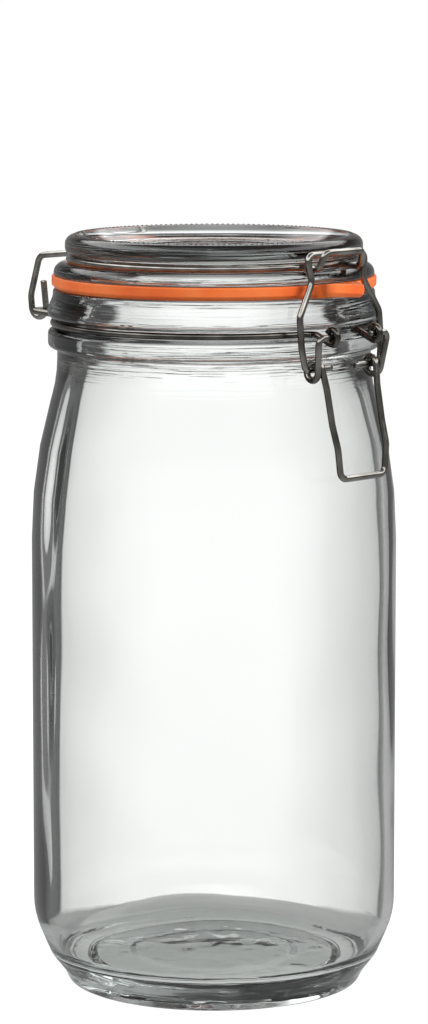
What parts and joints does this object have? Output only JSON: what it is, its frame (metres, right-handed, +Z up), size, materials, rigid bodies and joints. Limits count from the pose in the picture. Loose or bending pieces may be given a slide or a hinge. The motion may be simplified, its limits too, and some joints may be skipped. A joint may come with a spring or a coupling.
{
  "type": "preserving jar",
  "caption": "Empty clip-top preserving jar: tall clear glass jar with a hinged glass lid, an orange rubber seal with a pull tab and a bent-wire lever latch.",
  "frame": {"origin": "on the floor, on the jar's axis, in the plane of the foot that it stands on", "axes": "+Z up along the jar's axis, latch and pull tab at -Y, hinge at +Y, X across the latch"},
  "size_m": [0.1122, 0.1288, 0.2316],
  "materials": {
    "jar_glass": "pressed soda-lime glass, clear, smooth",
    "lid_glass": "pressed soda-lime glass, clear, smooth",
    "seal_rubber": "moulded natural rubber, orange, satin",
    "latch_wire": "drawn spring steel wire, satin with drawing lines",
    "ring_wire": "drawn spring steel wire, satin with drawing lines"
  },
  "bodies": {
    "jar": {"jar": "jar_glass", "neck_wire": "ring_wire"},
    "lid": {"lid": "lid_glass", "gasket": "seal_rubber", "lid_wire": "ring_wire"},
    "lever": {"lever": "latch_wire"},
    "bail": {"bail": "latch_wire"}
  },
  "joints": [
    {"name": "lid_hinge", "type": "hinge", "parent": "jar", "child": "lid", "pos_m": [0, 0.0618, 0.2055], "axis": [-1, 0, 0], "range_deg": [0, 210]},
    {"name": "lever_swing", "type": "hinge", "parent": "jar", "child": "lever", "pos_m": [0, -0.0575, 0.2046], "axis": [-1, 0, 0], "range_deg": [0, 100]},
    {"name": "bail_swing", "type": "hinge", "parent": "lever", "child": "bail", "pos_m": [0, -0.0533, 0.195], "axis": [1, 0, 0], "range_deg": [0, 70]}
  ],
  "couplings": [
    {"joint": "bail_swing", "follows": "lever_swing", "ratio": 0.69}
  ]
}
